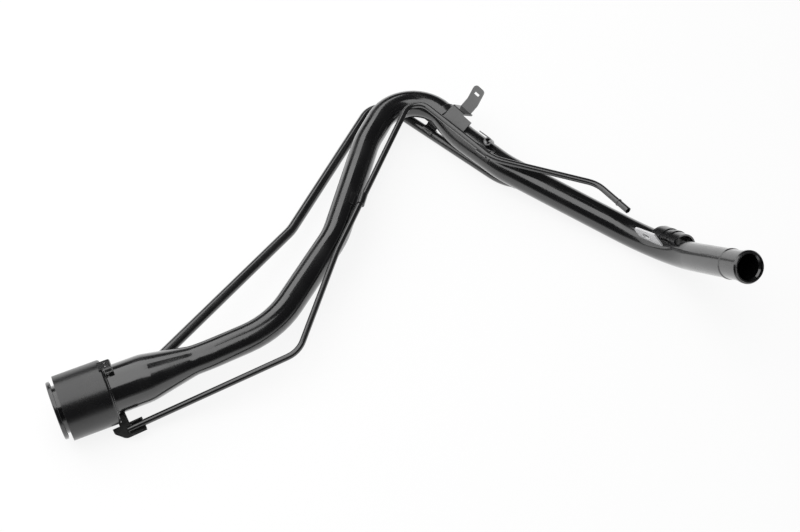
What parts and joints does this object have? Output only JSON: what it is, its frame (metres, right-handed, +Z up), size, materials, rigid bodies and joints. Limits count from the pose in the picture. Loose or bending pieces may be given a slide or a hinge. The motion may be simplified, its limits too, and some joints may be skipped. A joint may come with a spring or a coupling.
{
  "type": "fuel filler neck",
  "caption": "Steel fuel filler neck: wide mouth in a round cup, bent filler pipe, vent pipe, thin breather tube, clips, hanger and lower bracket.",
  "frame": {"origin": "middle of the footprint, on the surface that the part lies on", "axes": "+X along the longest side from mouth to tank end, +Z up from the surface, +Y toward the upper bend"},
  "size_m": [0.6526, 0.4174, 0.1377],
  "materials": {
    "pipe_black": "gloss",
    "rim_black": "gloss",
    "guide_black": "gloss",
    "cup_black": "gloss",
    "fitting_black": "gloss",
    "vent_black": "gloss",
    "tube_black": "gloss",
    "bracket_black": "gloss",
    "clip_black": "gloss",
    "saddle_black": "gloss",
    "lug_grey": "satin"
  },
  "bodies": {
    "root": {"main_pipe": "pipe_black", "mouth_rim": "rim_black", "nozzle_guide": "guide_black", "collar_cup": "cup_black", "tether_tab": "fitting_black", "vent_pipe": "vent_black", "breather_tube": "tube_black", "breather_holder": "bracket_black", "mid_clip": "clip_black", "vent_clip": "clip_black", "hook_clip": "clip_black", "hanger": "bracket_black", "hanger_band": "clip_black", "tube_hook": "fitting_black", "lower_saddle": "saddle_black", "lower_lug": "lug_grey"}
  },
  "joints": []
}
